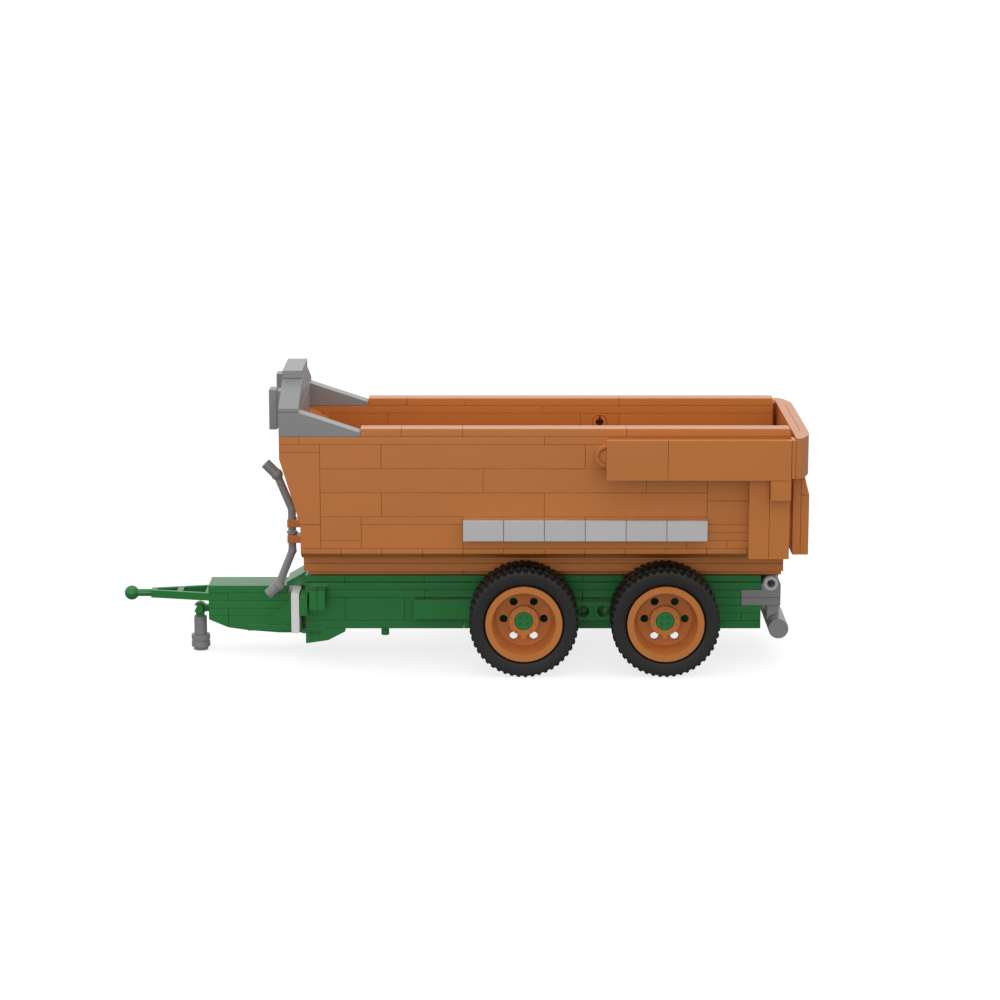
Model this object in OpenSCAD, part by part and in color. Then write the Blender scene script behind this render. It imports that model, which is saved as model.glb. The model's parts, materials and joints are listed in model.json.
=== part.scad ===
/* [Bricks] */
// Pitch of the studs along and across the trailer
stud = 8; // [7.98:0.01:8.02]
// Height of one plate, a third of a brick
plate = 3.2; // [3.19:0.01:3.21]
// Gap left between two neighbouring bricks
seam = 0.1; // [0.06:0.01:0.14]
// Height of the thin brackets that carry side tiles
bracket = 1.6; // [1.4:0.1:1.6]

/* [Pins and axles] */
// Radius of the round holes
hole_r = 2.45; // [2.44:0.01:2.48]
// Radius of the pins and axles that turn in them
pin_r = 2.4; // [2.37:0.01:2.41]
// Radius of the bore through a hollow pin
pin_bore_r = 1.6; // [1.2:0.1:1.8]
// Radius of the thin bars and hoses
bar_r = 1.6; // [1.55:0.01:1.6]

/* [Wheels] */
// Outer radius of the tyres
tyre_r = 21.6; // [21.2:0.1:21.8]
// Radius of the rims, where the tyres sit
rim_r = 15.2; // [14.8:0.1:15.4]
// Height of the axles above the ground grid
axle_z = 21.8; // [21.7:0.1:22]

/* [Pivots] */
// Height of the axis that the tub tips about
tip_z = 31.4; // [31.2:0.1:31.4]
// Height of the axis that the tailgate swings about
gate_z = 89; // [88.8:0.1:89.2]
// Height of the axis that the jack folds about
jack_z = 17.7; // [17.6:0.1:17.8]

/* [Hidden] */
$fn = 48;
gap = seam / 2;
// Both axles, the tipping axis and the tailgate axis, in studs along the trailer
axle_x = [8, 15];
tip_x = 20.5;
gate_x = 12;
tub_end = 21;
jack_x = -68.2;
hose_x = -29.2;
hose_y = -12;
// The origin is at the middle of the base, on the ground under the tyres
mid_x = 38.5;
ground_drop = 0.2;
sill_r = 31.3;

// ---- Shared shapes ----

// Lengths run from the front edge of the tub rim and heights from the ground grid
module place() {
    translate([-mid_x, 0, -ground_drop]) children();
}

module both_sides() {
    children();
    mirror([0, 1, 0]) children();
}

// Box between two limits along each axis, in millimetres
module block(x, y, z) {
    translate([x[0], y[0], z[0]]) cube([x[1] - x[0], y[1] - y[0], z[1] - z[0]]);
}

// Brick between stud lines and plate levels, smaller by half a seam all round
module brick(x, y, z) {
    block(
        [x[0] * stud + gap, x[1] * stud - gap],
        [y[0] * stud + gap, y[1] * stud - gap],
        [z[0] * plate + gap, z[1] * plate - gap]
    );
}

// Course of bricks along X with its joints at the stud lines given
module course(joints, y, z) {
    for (i = [0 : len(joints) - 2]) brick([joints[i], joints[i + 1]], y, z);
}

// Outline in X and Z, drawn out along Y
module across(y, outline) {
    translate([0, y[1], 0]) rotate([90, 0, 0]) linear_extrude(y[1] - y[0]) polygon(outline);
}

// Outline in Y and Z, drawn out along X
module along(x, outline) {
    translate([x[0], 0, 0]) rotate([90, 0, 90]) linear_extrude(x[1] - x[0]) polygon(outline);
}

// Round bar along Y
module bar(x, z, r, y) {
    translate([x, y[1], z]) rotate([90, 0, 0]) cylinder(r = r, h = y[1] - y[0]);
}

// Round rod in the plane of the hoses, between two points in X and Z
module rod(a, b, r) {
    run = b - a;
    translate([a[0], hose_y, a[1]])
        rotate([0, atan2(run[0], run[1]), 0])
            cylinder(r = r, h = norm(run));
}

// Ball in the plane of the hoses
module knuckle(a, r) {
    translate([a[0], hose_y, a[1]]) sphere(r = r);
}

// ---- Drawbar ----

// Half width of the tapering frame at a distance along the trailer
function frame_half(x) = 8 - 5.6 * (-64 - x) / 24;

// Window through the tapering frame between two distances
module frame_window(x) {
    rail = 1.75;
    linear_extrude(10) polygon([
        [x[0], frame_half(x[0]) - rail],
        [x[1], frame_half(x[1]) - rail],
        [x[1], rail - frame_half(x[1])],
        [x[0], rail - frame_half(x[0])]
    ]);
}

module drawbar_frame() {
    z = [7 * plate + gap, 8 * plate - gap];
    color("forestgreen") place() {
        difference() {
            translate([0, 0, z[0]]) linear_extrude(z[1] - z[0]) polygon([
                [-56.05, 7.95], [-64, 7.95], [-88, 2.4], [-88, -2.4], [-64, -7.95], [-56.05, -7.95]
            ]);
            translate([0, 0, 20]) {
                frame_window([-74.8, -65.5]);
                frame_window([-85.6, -77.3]);
            }
        }
        translate([-95, 0, 24]) rotate([0, 90, 0]) cylinder(r = 1.5, h = 8);
        translate([-96.05, 0, 24]) sphere(r = 2.95);
    }
}

module drawbar_box() {
    color("seagreen") place() {
        brick([-7, -3], [-1, 1], [7, 8]);
        brick([-8, -3], [-1, 1], [6, 7]);
        brick([-8, -7], [-1, 1], [5, 6]);
        brick([-7, -3], [-1, 1], [5, 6]);
        across([-7.95, 7.95], [[-63.95, 15.95], [-63.95, 14.6], [-56.05, 11.2], [-56.05, 15.95]]);
        across([-7.95, 7.95], [[-55.95, 15.95], [-55.95, 11.2], [-48, 10.1], [-35.05, 9.1], [-35.05, 15.95]]);
        block([-34.95, -24.05], [-7.95, 7.95], [9.1, 15.95]);
    }
}

module drawbar_top_tile() {
    color("mediumseagreen") place() brick([-8, -4], [-1, 1], [8, 9]);
}

module drawbar_side_slopes() {
    // Thin cheeks on the drawbar box that stop short of the reflector plates
    back = -29.6;
    cheek_y = [8.05, 9.2];
    color("seagreen") place() both_sides() {
        block([-48, back], cheek_y, [10.2, 12.75]);
        across(cheek_y, [[-41, 12.85], [-31, 23.6], [back, 23.6], [back, 12.85]]);
    }
}

module front_slope() {
    color("mediumseagreen") place()
        across([-7.95, 7.95], [[-31.95, 28.85], [-31.95, 30.3], [-24.05, 34.85], [-24.05, 28.85]]);
}

module reflector_plates() {
    color("whitesmoke") place() both_sides()
        block([-29.2, -26], [8.05, 23.95], [12.85, 28.8]);
}

module step_plates() {
    color("limegreen") place() both_sides() {
        block([-25.8, -24.1], [8.05, 23.95], [20, 28]);
        block([-24.1, -22.7], [16.1, 23.95], [20, 28]);
        for (x = [-22, -18.75]) block([x, x + 3.15], [16.05, 23.95], [22.2, 30.2]);
    }
}

module front_skids() {
    color("seagreen") place() both_sides() difference() {
        across([8.05, 15.95], [
            [-25.6, 12.75], [-25.6, 10.8], [-24, 10.8], [-24, 6.6],
            [-15, 7.9], [-8.05, 11.5], [-8.05, 12.75]
        ]);
        block([-22.4, -18.2], [14.8, 16.5], [9.6, 11.4]);
        block([-24.8, -15.6], [15.2, 16.5], [11.9, 13]);
    }
}

module lock_peg() {
    color("seagreen") place() translate([stud, -12, 9.4]) cylinder(r = bar_r, h = 4 * plate - gap - 9.4);
}

// ---- Chassis ----

module chassis_bottom_plates() {
    color("seagreen") place() course([-3, 5, 13, 20], [-2, 2], [4, 5]);
}

module chassis_side_bricks() {
    color("seagreen") place() both_sides() difference() {
        course([-3, -1, 2, 7, 9, 11, 12, 14, 16, 17], [1, 2], [5, 8]);
        for (x = [8, 10, 13, 15]) bar(x * stud, axle_z, hole_r, [7, 17]);
    }
}

module chassis_core_bricks() {
    color("darkgreen") place() {
        course([-3, 3, 7], [-1, 1], [5, 8]);
        course([9, 14], [-1, 1], [5, 8]);
        brick([16, 17], [-1, 1], [5, 8]);
    }
}

module chassis_mid_plates() {
    color("seagreen") place() {
        course([-3, 3, 11, 19], [-2, 2], [8, 9]);
        course([-3, 7, 14, 20], [-2, 2], [9, 10]);
        course([17, 19, 20], [-2, 2], [5, 6]);
        brick([17, 20], [-2, 2], [6, 7]);
        brick([17, 19], [-2, 2], [7, 8]);
    }
}

// The tops stay clear of the tub floor that rests above them
module chassis_top_tiles() {
    joints = [-3, -1, 3, 11, 20];
    color("seagreen") place()
        for (i = [0 : len(joints) - 2])
            block(
                [joints[i] * stud + gap, joints[i + 1] * stud - gap],
                [gap - 2 * stud, 2 * stud - gap],
                [10 * plate + 0.2, 11 * plate - 0.35]
            );
}

module side_cover_tiles() {
    color("seagreen") place() both_sides() {
        block([20, 52], [17.65, 20.8], [17.8, 25.8]);
        block([20.2, 51.8], [16.05, 17.55], [18, 25.5]);
    }
}

// Beam along X with round ends, eight holes and an I-shaped recess between each two
module axle_beam() {
    beam_y = [16.4, 23.6];
    beam_r = 3.8;
    difference() {
        union() {
            for (x = [8, 15]) bar(x * stud, axle_z, beam_r, beam_y);
            block([8 * stud, 15 * stud], beam_y, [axle_z - beam_r, axle_z + beam_r]);
        }
        for (x = [8 : 15]) bar(x * stud, axle_z, hole_r, [16, 24]);
        for (x = [8.5 : 14.5]) {
            block([x * stud - 0.5, x * stud + 0.5], [22.6, 24], [axle_z - 2.3, axle_z + 2.3]);
            for (z = [-2.3, 1.3])
                block([x * stud - 1.2, x * stud + 1.2], [22.6, 24], [axle_z + z, axle_z + z + 1]);
        }
    }
}

module axle_beams() {
    color("forestgreen") place() both_sides() axle_beam();
}

// Hollow pin from the chassis into the beam
module beam_pins() {
    color("dimgray") place() both_sides()
        for (x = [10, 13]) difference() {
            union() {
                bar(x * stud, axle_z, pin_r, [8.4, 23.4]);
                bar(x * stud, axle_z, 2.9, [16.02, 16.35]);
            }
            bar(x * stud, axle_z, pin_bore_r, [8, 24]);
        }
}

// Upright eye about the tipping axis, standing on a foot between two limits along X
module eye(y, foot_x, foot_z, r) {
    bar(tip_x * stud, tip_z, r, y);
    block(foot_x, y, foot_z);
}

module rear_hinge_brackets() {
    eye_r = 3.5;
    color("gray") place() both_sides() {
        block([152.05, 167.9], [8.05, 15.95], [22.45, 25.55]);
        difference() {
            union() {
                block([152.05, 167.9], [8.05, 15.95], [25.65, 28.75]);
                eye([8.05, 15.95], [160.1, 167.9], [28.7, tip_z], eye_r);
            }
            bar(tip_x * stud, tip_z, hole_r, [7, 17]);
            bar(tip_x * stud, tip_z, 3.1, [15.1, 17]);
        }
    }
}

// Hollow pins that the tub turns on, each with its collar outside
module hinge_pins() {
    color("silver") place() both_sides() difference() {
        union() {
            bar(tip_x * stud, tip_z, pin_r, [0.2, 15.9]);
            bar(tip_x * stud, tip_z, 3, [15.2, 15.9]);
        }
        bar(tip_x * stud, tip_z, pin_bore_r, [4, 17]);
    }
}

module bumper_bar() {
    color("gray") place() bar(166.5, 14.7, 4, [-24, 24]);
}

module bumper_hangers() {
    color("dimgray") place() both_sides() difference() {
        block([162.6, 167.4], [9, 15], [15, 22.35]);
        bar(166.5, 14.7, 4.05, [8, 16]);
    }
}

// ---- Jack ----

// Open ring on the front of the drawbar box that the jack's bar snaps into
module jack_clip() {
    color("seagreen") place() difference() {
        union() {
            bar(jack_x, jack_z, 2.6, [-1.5, 1.5]);
            block([jack_x + 1, -64.05], [-1.5, 1.5], [jack_z - 1.3, jack_z + 1.3]);
        }
        bar(jack_x, jack_z, bar_r + 0.05, [-2, 2]);
        block([jack_x - 4, jack_x], [-2, 2], [jack_z - 1.1, jack_z + 1.1]);
    }
}

module jack_hinge_bar() {
    color("seagreen") place() {
        bar(jack_x, jack_z, bar_r, [-4, 4]);
        both_sides() block([jack_x - 1.5, jack_x + 1.5], [1.9, 2.7], [14.45, jack_z]);
    }
}

module jack_leg() {
    color("gray") place() translate([jack_x, 0, 6.75]) difference() {
        cylinder(r = 2.6, h = 7.6);
        translate([0, 0, -1]) cylinder(r = 1.6, h = 5);
    }
}

module jack_foot() {
    color("dimgray") place() translate([jack_x, 0, 0]) {
        for (z = [1.6, 4.5]) translate([0, 0, z]) cylinder(r = 3.8, h = 2.2);
        translate([0, 0, 2]) cylinder(r = 3.4, h = 4);
        translate([0, 0, ground_drop]) cylinder(r = 2.95, h = 2);
    }
}

// ---- Wheels ----

// Moves children from the Z axis to one axle, with their +Z towards the right side
module on_axle(i) {
    translate([axle_x[i] * stud, 0, axle_z]) rotate([-90, 0, 0]) children();
}

// Cross-shaped bar along Z, with arms of a given radius and width
module cross_bar(r, arm, z) {
    intersection() {
        translate([0, 0, z[0]]) cylinder(r = r, h = z[1] - z[0]);
        union() {
            block([-r, r], [-arm / 2, arm / 2], z);
            block([-arm / 2, arm / 2], [-r, r], z);
        }
    }
}

module axle_shaft(i) {
    color("lightgray") place() on_axle(i) cross_bar(pin_r, 1.8, [-38, 38]);
}

module axle_bushes(i) {
    color("lightgray") place() on_axle(i)
        for (z = [-28.1, -7.7, 4.2, 24.2]) translate([0, 0, z]) difference() {
            cylinder(r = 3.6, h = z == -28.1 || z == 24.2 ? 3.9 : 3.5);
            translate([0, 0, -1]) cylinder(r = hole_r, h = 6);
        }
}

// Dished rim with a barrel, a conical face, a pierced floor and a raised hub. The hub
// has nine small dimples and a tab at the bottom.
module rim() {
    lip_z = 45.5;
    floor_z = [34.1, 35.7];
    hub_z = 39.8;
    difference() {
        rotate_extrude() polygon([
            [rim_r, lip_z], [12.65, lip_z], [10.95, floor_z[1]], [5.9, floor_z[1]], [5.9, hub_z],
            [3.75, hub_z], [3.75, 36.6], [hole_r, 36.6], [hole_r, 28.4], [4.3, 28.4],
            [4.3, floor_z[0]], [10.4, floor_z[0]], [13.6, 31], [13.6, 25], [rim_r, 25]
        ]);
        for (a = [0 : 60 : 300]) rotate([0, 0, a]) translate([8, 0, 33]) cylinder(r = 1.6, h = 4);
        for (a = [126 : 36 : 414])
            rotate([0, 0, a]) translate([4.85, 0, hub_z - 0.5]) cylinder(r = 0.32, h = 1);
    }
    block([-1.05, 1.05], [5.5, 7.3], [floor_z[1] - 0.5, hub_z]);
}

module tyre() {
    inner_r = rim_r + gap;
    rotate_extrude() polygon([
        [inner_r, 26], [16.6, 24.9], [19, 24.4], [20.8, 25], [tyre_r, 26.6],
        [tyre_r, 43.8], [20.8, 45.4], [19, 46], [16.6, 45.9], [inner_r, 45]
    ]);
}

// Caps pressed on the shaft's ends, each with four small pockets round a cross
module hub_caps(i) {
    color("forestgreen") place() both_sides() on_axle(i) difference() {
        translate([0, 0, 36.7]) cylinder(r = 3.6, h = 3);
        cross_bar(pin_r + 0.05, 1.9, [36, 38.1]);
        difference() {
            translate([0, 0, 38.9]) cylinder(r = 2.2, h = 1.5);
            cross_bar(3, 1.7, [38, 41]);
        }
    }
}

module rim_right(i) {
    color("peru") place() on_axle(i) rim();
}

module rim_left(i) {
    color("peru") mirror([0, 1, 0]) place() on_axle(i) rim();
}

module tyre_right(i) {
    color("dimgray") place() on_axle(i) tyre();
}

module tyre_left(i) {
    color("dimgray") mirror([0, 1, 0]) place() on_axle(i) tyre();
}

// ---- Tub ----

module tub_floor_plates() {
    color("sienna") place() {
        course([-2.75, 5, 13, tub_end], [-2, 2], [11, 12]);
        for (z = [12, 13]) brick([-3, tub_end], [-3, 3], [z, z + 1]);
    }
}

module tub_deck_plates() {
    color("sienna") place() {
        course([-3, 5, 13, tub_end], [-3, 3], [14, 15]);
        course([-3, 1, 9, 17, tub_end], [-3, 3], [15, 16]);
    }
}

// Sill pieces two studs long whose undersides curve up to the foot of the wall
module tub_sills() {
    inner_y = 3 * stud + gap;
    outer_y = 5 * stud - gap;
    low_z = 14 * plate + gap;
    sweep = asin((outer_y - inner_y) / sill_r);
    steps = 10;
    underside = [
        for (i = [0 : steps]) let (a = sweep * i / steps)
            [inner_y + sill_r * sin(a), low_z + sill_r * (1 - cos(a))]
    ];
    outline = concat(underside, [[outer_y, 16 * plate - gap], [inner_y, 16 * plate - gap]]);
    color("peru") place() both_sides()
        for (x = [-3 : 2 : 19]) along([x * stud + gap, (x + 2) * stud - gap], outline);
}

// One side wall, from its foot on the sills up to its top plates
module wall() {
    y = [4, 5];
    brick([-3, -2], y, [16, 19]);
    brick([-4, -2], y, [28, 29]);
    brick([-2, 0], y, [16, 17]);
    brick([-2, 0], y, [17, 20]);
    brick([0, 5], y, [16, 19]);
    brick([0, 5], y, [19, 20]);
    course([5, 16, 18, tub_end], y, [16, 17]);
    course([5, 11, 17], y, [17, 20]);
    course([-2, 1, 9, 17], y, [20, 23]);
    course([-2, 6, 14, 17], y, [23, 26]);
    for (z = [[17, 18], [18, 19], [19, 22], [22, 25], [25, 26]]) brick([17, tub_end], y, z);
    difference() {
        course([-2, 1, 11, 13, tub_end], y, [26, 29]);
        bar(gate_x * stud, gate_z, hole_r, [30, 42]);
        bar(gate_x * stud, gate_z, 3.1, [30, 32.9]);
    }
    course([-4, -3, 9, tub_end], y, [29, 30]);
}

module tub_wall_left() {
    color("peru") mirror([0, 1, 0]) place() wall();
}

module tub_wall_right() {
    color("peru") place() wall();
}

// Five raked panels, the bricks below them and the plates and slopes behind them
module tub_front_wall() {
    color("peru") place() {
        for (y = [-40 : 16 : 24]) across([y + gap, y + 16 - gap], [
            [-31.95, 89.55], [-31.95, 87.2], [-24, 60.9], [-16.05, 60.9], [-16.05, 89.55]
        ]);
        for (y = [-4, 0]) brick([-3, -2], [y, y + 4], [16, 19]);
        brick([-4, -3], [-4, 4], [28.05, 29]);
        brick([-4, -3], [-4, 4], [29, 30]);
        for (y = [-32 : 16 : 16]) across([y + gap, y + 16 - gap], [
            [-23.95, 89.65], [-16.05, 89.65], [-16.05, 91.1], [-23.95, 95.95]
        ]);
    }
}

module tub_rim_tiles() {
    color("sandybrown") place() both_sides() course([0, 2, 5, 13, tub_end], [4, 5], [30, 31]);
}

// Boards over the front of the tub, stepping up to the middle
module guard_boards() {
    front_x = [-31.95, -24.05];
    color("darkgray") place() {
        both_sides() {
            across([32.05, 39.95], [
                [-31.95, 96.05], [-0.05, 96.05], [-0.05, 97.6], [-24, 105.55], [-31.95, 105.55]
            ]);
            along(front_x, [
                [8.05, 105.65], [39.95, 105.65], [39.95, 107.2], [16, 115.15], [8.05, 115.15]
            ]);
        }
        brick([-4, -3], [-4, 0], [30, 33]);
        brick([-4, -3], [0, 4], [30, 33]);
        brick([-4, -3], [-1, 1], [33, 36]);
        brick([-4, -3], [-2, 2], [36, 37]);
    }
}

module guard_ribs() {
    color("dimgray") place() both_sides() {
        block([-33.6, -32.05], [16.05, 23.95], [96.5, 111.5]);
        block([-36.8, -33.7], [16.05, 23.95], [96, 112]);
    }
}

module trim_tiles() {
    face_y = 5 * stud + bracket;
    color("silver") place() both_sides()
        for (x = [40 : 16 : 120]) {
            block([x + 2 * gap, x + 16 - 2 * gap], [face_y + gap, 44.75], [55.2, 63.2]);
            block([x + 0.3, x + 15.7], [5 * stud + gap, face_y - gap], [55.5, 62.9]);
        }
}

module rear_posts() {
    face_y = 5 * stud + bracket;
    color("peru") place() both_sides()
        for (x = [152, 160]) {
            block([x + gap, x + 8 - gap], [face_y + gap, 44.6], [48, 80]);
            block([x + 0.3, x + 7.7], [5 * stud + gap, face_y - gap], [52, 79]);
        }
}

// Lugs under the tub floor that turn on the hinge pins
module tub_hinge_lugs() {
    lug_r = 3.6;
    x = tip_x * stud;
    color("black") place() both_sides() difference() {
        eye([0.1, 7.7], [x - lug_r, x + lug_r], [tip_z, 11 * plate - gap], lug_r);
        bar(x, tip_z, hole_r, [-1, 9]);
    }
}

// Pins with a collar on the inside of the wall, a blind bore and a driving slot
module gate_pivot_pins() {
    x = gate_x * stud;
    color("peru") place() both_sides() difference() {
        union() {
            bar(x, gate_z, pin_r, [32.2, 44.6]);
            bar(x, gate_z, 2.95, [32.2, 32.8]);
        }
        bar(x, gate_z, pin_bore_r, [32, 42]);
        block([x - 0.4, x + 0.4], [32, 33.4], [gate_z - 3.2, gate_z + 3.2]);
    }
}

// Open clips on the front of the tub, one for each hose
module hose_clips() {
    color("peru") place()
        for (z = [[48.05, 51.15], [54.45, 57.55]]) difference() {
            block([hose_x - 1.8, -24.1], [hose_y - 3.2, hose_y + 3.2], z);
            translate([hose_x, hose_y, 45]) cylinder(r = bar_r + 0.05, h = 15);
            block([hose_x - 4, hose_x], [hose_y - 1.3, hose_y + 1.3], [45, 60]);
        }
}

// ---- Tailgate ----

module gate_arms() {
    beam_y = [40.4, 44.7];
    boss_r = 4.2;
    x = gate_x * stud;
    color("peru") place() both_sides() {
        difference() {
            union() {
                bar(x, gate_z, boss_r, beam_y);
                block([x, tub_end * stud - gap], beam_y, [84.85, 92.75]);
            }
            bar(x, gate_z, hole_r, [40, 45]);
            bar(x, gate_z, 3.15, [43.9, 45]);
        }
        block([168.1, 169.55], [40.4, 48], [80.8, 96]);
    }
}

module gate_arm_tiles() {
    y = [44.95, 48.1];
    color("peru") place() both_sides() {
        block([96.05, 119.95], y, [80.05, 95.95]);
        block([120.05, 167.95], y, [80.05, 95.95]);
        block([160.05, 167.95], y, [72, 79.95]);
    }
}

module gate_plates() {
    x = [169.65, 172.75];
    outer_x = 176;
    corner_y = 32.05;
    steps = 10;
    sweep = asin((47.95 - corner_y) / sill_r);
    face = [
        for (i = [0 : steps]) let (a = sweep * i / steps)
            [outer_x - sill_r * (1 - cos(a)), corner_y + sill_r * sin(a)]
    ];
    color("peru") place() {
        for (y = [-40, 0]) block(x, [y + gap, y + 40 - gap], [48.8, 80.7]);
        for (y = [-32, 0]) block(x, [y + gap, y + 32 - gap], [80.8, 96.8]);
        both_sides() translate([0, 0, 80.8]) linear_extrude(16)
            polygon(concat([[x[0], corner_y]], face, [[x[0], 47.95]]));
    }
}

module gate_tiles() {
    x = [172.85, 176];
    color("peru") place() {
        for (y = [-40 : 16 : 24]) {
            block(x, [y + gap, y + 16 - gap], [48.8, 72.7]);
            across([y + gap, y + 16 - gap], [[x[0], 72.8], [x[1], 72.8], [174, 80.7], [x[0], 80.7]]);
        }
        for (y = [-32 : 16 : 16]) block(x, [y + gap, y + 16 - gap], [80.8, 96.8]);
    }
}

// ---- Hoses ----

// Stiff hose from a foot on the clip's axis, over two bends, to a thicker coupling
module hose(foot_z, bend_z, knee, tip) {
    foot = [hose_x, foot_z];
    bend = [hose_x, bend_z];
    rod(foot, bend, bar_r);
    knuckle(bend, bar_r + 0.15);
    rod(bend, knee, bar_r);
    knuckle(knee, 2.4);
    rod(knee, tip, 2.15);
}

module hose_upper() {
    color("gray") place() hose(52.8, 61.4, [-35, 75.6], [-39.6, 80.2]);
}

module hose_lower() {
    color("gray") place() {
        hose(52.4, 44.3, [-35, 30], [-39.3, 26.1]);
        translate([hose_x, hose_y, 51.5]) cylinder(r = 2.2, h = 0.9);
    }
}

drawbar_frame();
drawbar_box();
drawbar_top_tile();
drawbar_side_slopes();
front_slope();
reflector_plates();
step_plates();
front_skids();
lock_peg();
chassis_bottom_plates();
chassis_side_bricks();
chassis_core_bricks();
chassis_mid_plates();
chassis_top_tiles();
side_cover_tiles();
axle_beams();
beam_pins();
rear_hinge_brackets();
hinge_pins();
bumper_bar();
bumper_hangers();
jack_clip();
jack_hinge_bar();
jack_leg();
jack_foot();
axle_shaft(0);  // front_axle_shaft
axle_bushes(0);  // front_axle_bushes
rim_left(0);  // front_rim_left
rim_right(0);  // front_rim_right
tyre_left(0);  // front_tyre_left
tyre_right(0);  // front_tyre_right
hub_caps(0);  // front_hub_caps
axle_shaft(1);  // rear_axle_shaft
axle_bushes(1);  // rear_axle_bushes
rim_left(1);  // rear_rim_left
rim_right(1);  // rear_rim_right
tyre_left(1);  // rear_tyre_left
tyre_right(1);  // rear_tyre_right
hub_caps(1);  // rear_hub_caps
tub_floor_plates();
tub_deck_plates();
tub_sills();
tub_wall_left();
tub_wall_right();
tub_front_wall();
tub_rim_tiles();
guard_boards();
guard_ribs();
trim_tiles();
rear_posts();
tub_hinge_lugs();
gate_pivot_pins();
hose_clips();
gate_arms();
gate_arm_tiles();
gate_plates();
gate_tiles();
hose_upper();
hose_lower();
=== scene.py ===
"""Toy tipping trailer: materials, rounded brick edges, treaded tyres, light and camera."""
import json
import math

import bmesh
import bpy
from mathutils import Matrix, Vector


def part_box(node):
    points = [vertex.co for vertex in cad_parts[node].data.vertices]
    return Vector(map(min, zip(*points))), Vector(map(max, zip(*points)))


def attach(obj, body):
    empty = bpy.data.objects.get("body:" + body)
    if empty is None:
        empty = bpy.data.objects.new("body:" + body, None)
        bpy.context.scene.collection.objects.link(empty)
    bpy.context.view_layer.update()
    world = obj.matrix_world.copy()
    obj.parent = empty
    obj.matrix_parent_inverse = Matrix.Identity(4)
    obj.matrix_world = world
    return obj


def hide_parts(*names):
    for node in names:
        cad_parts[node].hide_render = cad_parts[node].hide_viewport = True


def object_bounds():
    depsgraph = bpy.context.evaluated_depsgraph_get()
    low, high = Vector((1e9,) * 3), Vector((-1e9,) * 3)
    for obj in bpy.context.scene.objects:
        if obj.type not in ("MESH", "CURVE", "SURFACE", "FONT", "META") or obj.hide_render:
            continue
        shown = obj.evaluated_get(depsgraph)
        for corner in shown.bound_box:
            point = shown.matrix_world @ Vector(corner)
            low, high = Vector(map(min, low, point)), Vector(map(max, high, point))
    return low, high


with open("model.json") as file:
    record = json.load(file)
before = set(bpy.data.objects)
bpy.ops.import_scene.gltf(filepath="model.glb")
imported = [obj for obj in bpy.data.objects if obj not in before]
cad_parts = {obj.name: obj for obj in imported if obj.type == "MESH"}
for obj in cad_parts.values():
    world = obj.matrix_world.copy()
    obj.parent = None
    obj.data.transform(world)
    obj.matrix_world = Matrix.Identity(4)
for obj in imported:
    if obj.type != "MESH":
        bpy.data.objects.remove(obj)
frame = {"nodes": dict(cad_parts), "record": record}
nodes = frame["nodes"]
cad_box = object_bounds()

MM = 0.001
EDGE_ROUND = 0.13 * MM
SHARP_ANGLE = math.radians(38)
FLAT_ANGLE = math.radians(0.5)
WELD = 0.002 * MM
SLOTS = {row["node"]: row["material_slot"] for row in frame["record"]["subparts"]}


# ---- Materials ----

def new_material(name):
    """An empty node material and its Principled shader."""
    material = bpy.data.materials.new(name)
    material.use_nodes = True
    shader = material.node_tree.nodes["Principled BSDF"]
    return material, shader


def add(material, kind, **inputs):
    """A shader node with its named inputs set."""
    node = material.node_tree.nodes.new(kind)
    for name, value in inputs.items():
        node.inputs[name.replace("_", " ")].default_value = value
    return node


def noise(material, scale, detail=3.0):
    """Noise in object space, so that it doesn't depend on UVs."""
    links = material.node_tree.links
    place = add(material, "ShaderNodeTexCoord")
    texture = add(material, "ShaderNodeTexNoise", Scale=scale, Detail=detail)
    links.new(place.outputs["Object"], texture.inputs["Vector"])
    return texture


def ramp(material, source, low, high):
    """Maps a 0 to 1 value to the range low to high."""
    node = material.node_tree.nodes.new("ShaderNodeMapRange")
    node.inputs["To Min"].default_value = low
    node.inputs["To Max"].default_value = high
    material.node_tree.links.new(source, node.inputs["Value"])
    return node.outputs["Result"]


def plastic(name, colour, rough, spread):
    """Moulded plastic: each brick a slightly different shade, faint flow marks and a fine surface grain."""
    material, shader = new_material(name)
    links = material.node_tree.links
    island = material.node_tree.nodes.new("ShaderNodeNewGeometry")
    shade = ramp(material, island.outputs["Random Per Island"], 1 - spread, 1 + spread)
    flow = ramp(material, noise(material, 35.0).outputs["Fac"], 1 - spread, 1 + spread)
    both = add(material, "ShaderNodeMath")
    both.operation = "MULTIPLY"
    links.new(shade, both.inputs[0])
    links.new(flow, both.inputs[1])
    tint = material.node_tree.nodes.new("ShaderNodeVectorMath")
    tint.operation = "SCALE"
    tint.inputs[0].default_value = colour
    links.new(both.outputs["Value"], tint.inputs["Scale"])
    links.new(tint.outputs["Vector"], shader.inputs["Base Color"])
    patches = noise(material, 120.0)
    links.new(ramp(material, patches.outputs["Fac"], rough - 0.03, rough + 0.04), shader.inputs["Roughness"])
    grain = add(material, "ShaderNodeBump", Strength=0.05, Distance=0.02 * MM)
    links.new(noise(material, 900.0, 2.0).outputs["Fac"], grain.inputs["Height"])
    links.new(grain.outputs["Normal"], shader.inputs["Normal"])
    return material


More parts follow.
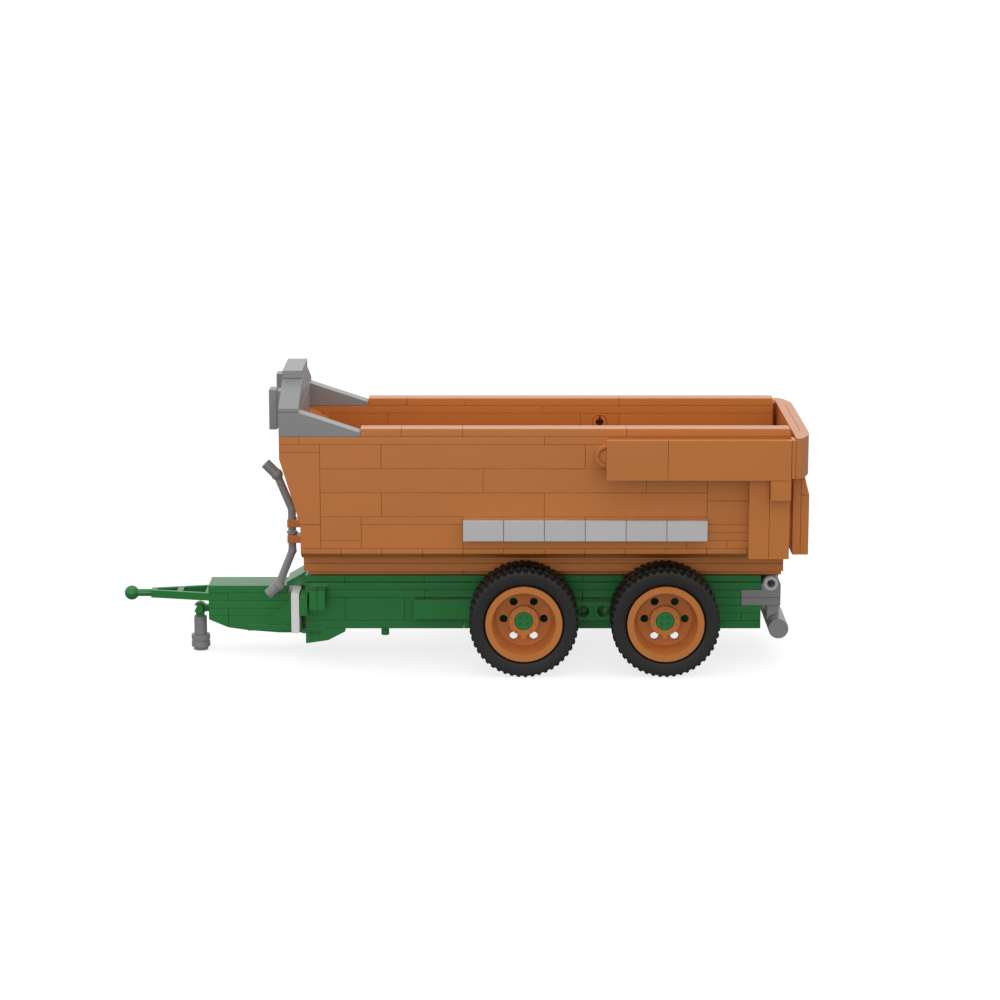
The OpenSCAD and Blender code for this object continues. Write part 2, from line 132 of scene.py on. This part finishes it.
def rubber(name, colour):
    """Matt rubber with a fine grain and paler, drier patches."""
    material, shader = new_material(name)
    links = material.node_tree.links
    tint = material.node_tree.nodes.new("ShaderNodeVectorMath")
    tint.operation = "SCALE"
    tint.inputs[0].default_value = colour
    links.new(ramp(material, noise(material, 90.0).outputs["Fac"], 0.8, 1.25), tint.inputs["Scale"])
    links.new(tint.outputs["Vector"], shader.inputs["Base Color"])
    links.new(ramp(material, noise(material, 400.0).outputs["Fac"], 0.5, 0.68), shader.inputs["Roughness"])
    grain = add(material, "ShaderNodeBump", Strength=0.25, Distance=0.05 * MM)
    links.new(noise(material, 1400.0, 4.0).outputs["Fac"], grain.inputs["Height"])
    links.new(grain.outputs["Normal"], shader.inputs["Normal"])
    return material


MATERIALS = {
    "orange_plastic": plastic("orange_plastic", (0.61, 0.207, 0.046), 0.24, 0.02),
    "green_plastic": plastic("green_plastic", (0.02, 0.225, 0.047), 0.24, 0.03),
    "grey_plastic": plastic("grey_plastic", (0.28, 0.28, 0.283), 0.28, 0.02),
    "silver_plastic": plastic("silver_plastic", (0.60, 0.60, 0.605), 0.22, 0.02),
    "white_plastic": plastic("white_plastic", (0.92, 0.915, 0.89), 0.22, 0.01),
    "black_plastic": plastic("black_plastic", (0.012, 0.012, 0.013), 0.26, 0.05),
    "black_rubber": rubber("black_rubber", (0.009, 0.009, 0.0092)),
}


def round_edges(piece, segments):
    """Rounds the sharp edges, and keeps flat faces flat in the shading."""
    bevel = piece.modifiers.new("bevel", "BEVEL")
    bevel.width = EDGE_ROUND
    bevel.segments = segments
    bevel.limit_method = "ANGLE"
    bevel.angle_limit = SHARP_ANGLE
    piece.modifiers.new("normals", "WEIGHTED_NORMAL")
    piece.data.shade_smooth()


def finish_node(node):
    """Gives a CAD node its material, whole flat faces, smooth curves and softly rounded edges."""
    piece = nodes[node]
    piece.data.materials.clear()
    piece.data.materials.append(MATERIALS[SLOTS[node]])
    weld = piece.modifiers.new("weld", "WELD")
    weld.merge_threshold = WELD
    flats = piece.modifiers.new("flats", "DECIMATE")
    flats.decimate_type = "DISSOLVE"
    flats.angle_limit = FLAT_ANGLE
    round_edges(piece, 2)


# ---- Tyres ----

LUGS = 48
TREAD_DEPTH = 0.75 * MM
LUG_EDGES = (0.04, 0.46, 0.54, 0.96)
OUTER_LUG_EDGES = 2
RIM_CLEARANCE = 0.1 * MM


def tyre_profile(radius, bead, half):
    """The tyre's section as (radius, distance across, band). Band 0 is smooth, 1 an outer row of
    lugs and 2 the middle row. It runs from one bead over the tread to the other."""
    side = [
        (bead, 0.85 * half, 0),
        (bead + 0.9 * MM, 0.965 * half, 0),
        (bead + 2.0 * MM, half - 0.12 * MM, 0),
        (bead + 4.0 * MM, half, 0),
        (radius - 1.2 * MM, half - 0.05 * MM, 0),
        (radius - 0.75 * MM, half - 0.2 * MM, 0),
        (radius - 0.1 * MM, half - 0.75 * MM, 1),
        (radius, half - 1.4 * MM, 1),
        (radius, 0.44 * half, 1),
        (radius - TREAD_DEPTH, 0.42 * half, 0),
        (radius - TREAD_DEPTH, 0.36 * half, 0),
        (radius, 0.34 * half, 2),
    ]
    return side + [(r, -y, band) for r, y, band in reversed(side)]


def tyre_ring(profile, centre):
    """Sweeps the section round the axle. The outer lugs stand on the first half of each step round
    the tyre, and the middle lugs on the second half."""
    mesh = bmesh.new()
    rings = []
    for lug in range(LUGS):
        for part, edge in enumerate(LUG_EDGES):
            angle = 2 * math.pi * (lug + edge) / LUGS
            outer_lug = part < OUTER_LUG_EDGES
            ring = []
            for r, y, band in profile:
                low = (band == 1 and not outer_lug) or (band == 2 and outer_lug)
                reach = r - TREAD_DEPTH if low else r
                place = centre + Vector((reach * math.cos(angle), y, reach * math.sin(angle)))
                ring.append(mesh.verts.new(place))
            rings.append(ring)
    for here, there in zip(rings, rings[1:] + rings[:1]):
        for i in range(len(here)):
            j = (i + 1) % len(here)
            mesh.faces.new((here[i], here[j], there[j], there[i]))
    bmesh.ops.recalc_face_normals(mesh, faces=mesh.faces)
    return mesh


def tyre(axle, side):
    """A treaded tyre in place of one plain CAD ring."""
    node = f"{axle}_tyre_{side}"
    low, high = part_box(node)
    rim_low, rim_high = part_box(f"{axle}_rim_{side}")
    centre = (low + high) / 2
    bead = (rim_high.x - rim_low.x) / 2 + RIM_CLEARANCE
    mesh = tyre_ring(tyre_profile((high.x - low.x) / 2, bead, (high.y - low.y) / 2), centre)
    data = bpy.data.meshes.new(f"{axle}_{side}_treaded_tyre")
    mesh.to_mesh(data)
    mesh.free()
    piece = bpy.data.objects.new(data.name, data)
    bpy.context.scene.collection.objects.link(piece)
    data.materials.append(MATERIALS["black_rubber"])
    round_edges(piece, 1)
    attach(piece, f"{axle}_axle")
    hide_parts(node)


# ---- Floor, light and camera ----

FLOOR_REACH = 40.0
FLOOR_GREY = (0.35, 0.35, 0.35, 1)
FLOOR_GLOW = 0.78
HORIZON = (-0.2, 0.05)
SURROUND_STRENGTH = (0.18, 0.85)
AIM_HEIGHT = 0.06
LENS = 103.8
SENSOR = 36
CAMERA_PLACE = (16.1 * MM, -1148.7 * MM, 297.6 * MM)
CAMERA_DOWN = 11.57

def floor():
    """A plain white floor, level with the bottom of the tyres. It glows a little, so that it reads
    white right to the horizon, and throws no light back up at the trailer."""
    data = bpy.data.meshes.new("floor")
    corners = [(x * FLOOR_REACH, y * FLOOR_REACH, 0) for x, y in ((-1, -1), (1, -1), (1, 1), (-1, 1))]
    data.from_pydata(corners, [], [(0, 1, 2, 3)])
    piece = bpy.data.objects.new("floor", data)
    bpy.context.scene.collection.objects.link(piece)
    material, shader = new_material("floor_white")
    shader.inputs["Base Color"].default_value = FLOOR_GREY
    shader.inputs["Emission Color"].default_value = (1, 1, 1, 1)
    shader.inputs["Emission Strength"].default_value = FLOOR_GLOW
    shader.inputs["Roughness"].default_value = 0.9
    shader.inputs["Specular IOR Level"].default_value = 0.0
    data.materials.append(material)
    piece.visible_diffuse = False
    piece.visible_glossy = False


def area_light(name, place, aim, size, power):
    """A square soft box at place that points at aim."""
    light = bpy.data.lights.new(name, "AREA")
    light.size = size
    light.energy = power
    lamp = bpy.data.objects.new(name, light)
    lamp.location = place
    lamp.rotation_euler = (Vector(aim) - Vector(place)).to_track_quat("-Z", "Y").to_euler()
    bpy.context.scene.collection.objects.link(lamp)


def lights():
    """Weak soft boxes overhead, in front and behind, in a surround that is white above the
    horizon and dim below it."""
    middle = ((cad_box[0][0] + cad_box[1][0]) / 2, 0, AIM_HEIGHT)
    area_light("overhead", (0.1, -0.15, 1.5), middle, 1.4, 5)
    area_light("front_fill", (-0.2, -1.6, 0.26), middle, 0.5, 2.8)
    area_light("rear_fill", (0.9, 1.0, 0.9), middle, 1.2, 1.5)
    world = bpy.data.worlds.new("surround")
    world.use_nodes = True
    tree = world.node_tree
    tree.nodes["Background"].inputs["Color"].default_value = (1, 1, 1, 1)
    direction = tree.nodes.new("ShaderNodeTexCoord")
    height = tree.nodes.new("ShaderNodeSeparateXYZ")
    sky = tree.nodes.new("ShaderNodeMapRange")
    sky.inputs["From Min"].default_value, sky.inputs["From Max"].default_value = HORIZON
    sky.inputs["To Min"].default_value, sky.inputs["To Max"].default_value = SURROUND_STRENGTH
    tree.links.new(direction.outputs["Generated"], height.inputs["Vector"])
    tree.links.new(height.outputs["Z"], sky.inputs["Value"])
    tree.links.new(sky.outputs["Result"], tree.nodes["Background"].inputs["Strength"])
    bpy.context.scene.world = world


def camera():
    """A long lens to the trailer's left, a little above it."""
    data = bpy.data.cameras.new("camera")
    data.sensor_width = SENSOR
    data.lens = LENS
    data.clip_start = 0.05
    data.clip_end = 100
    eye = bpy.data.objects.new("camera", data)
    eye.location = CAMERA_PLACE
    eye.rotation_euler = (math.radians(90 - CAMERA_DOWN), 0, 0)
    bpy.context.scene.collection.objects.link(eye)
    bpy.context.scene.camera = eye


camera()
floor()
lights()
for name in nodes:
    finish_node(name)
for axle_name in ("front", "rear"):
    for side_name in ("left", "right"):
        tyre(axle_name, side_name)
bpy.context.scene.view_settings.view_transform = "Standard"
